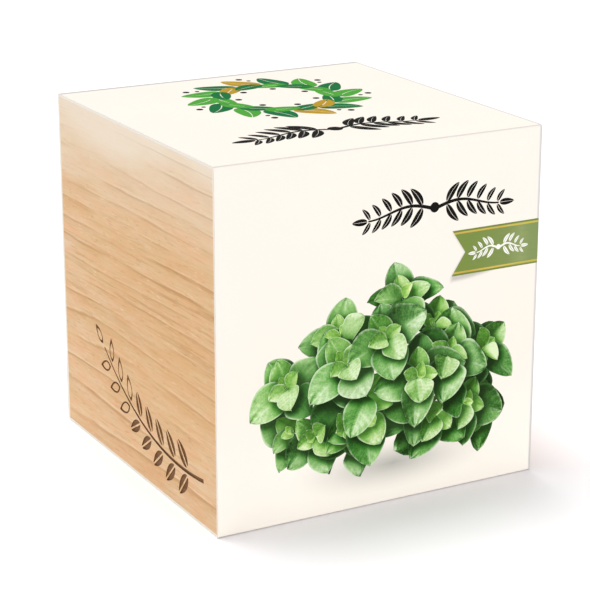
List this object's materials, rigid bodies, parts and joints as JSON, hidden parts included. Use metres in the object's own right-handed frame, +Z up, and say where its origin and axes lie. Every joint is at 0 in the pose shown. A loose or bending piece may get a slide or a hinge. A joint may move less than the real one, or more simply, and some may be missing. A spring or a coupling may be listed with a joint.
{
  "type": "wooden plant-growing cube",
  "caption": "Solid wooden cube bored to hold clay granules and a seed packet for growing a herb, wrapped in a folded printed card sleeve that leaves its sides bare.",
  "frame": {"origin": "centre of the footprint, on the underside of the card sleeve", "axes": "+Z up out of the planting hole; -Y out of the printed front; -X out of the engraved bare wooden side and +X out of the plain one"},
  "size_m": [0.075, 0.0764, 0.076],
  "materials": {
    "wood": "matte",
    "printed_card": "satin",
    "clay": "matte",
    "packet_paper": "matte"
  },
  "bodies": {
    "root": {"wood_block": "wood", "paper_sleeve": "printed_card", "clay_granules": "clay", "seed_packet": "packet_paper"}
  },
  "joints": []
}
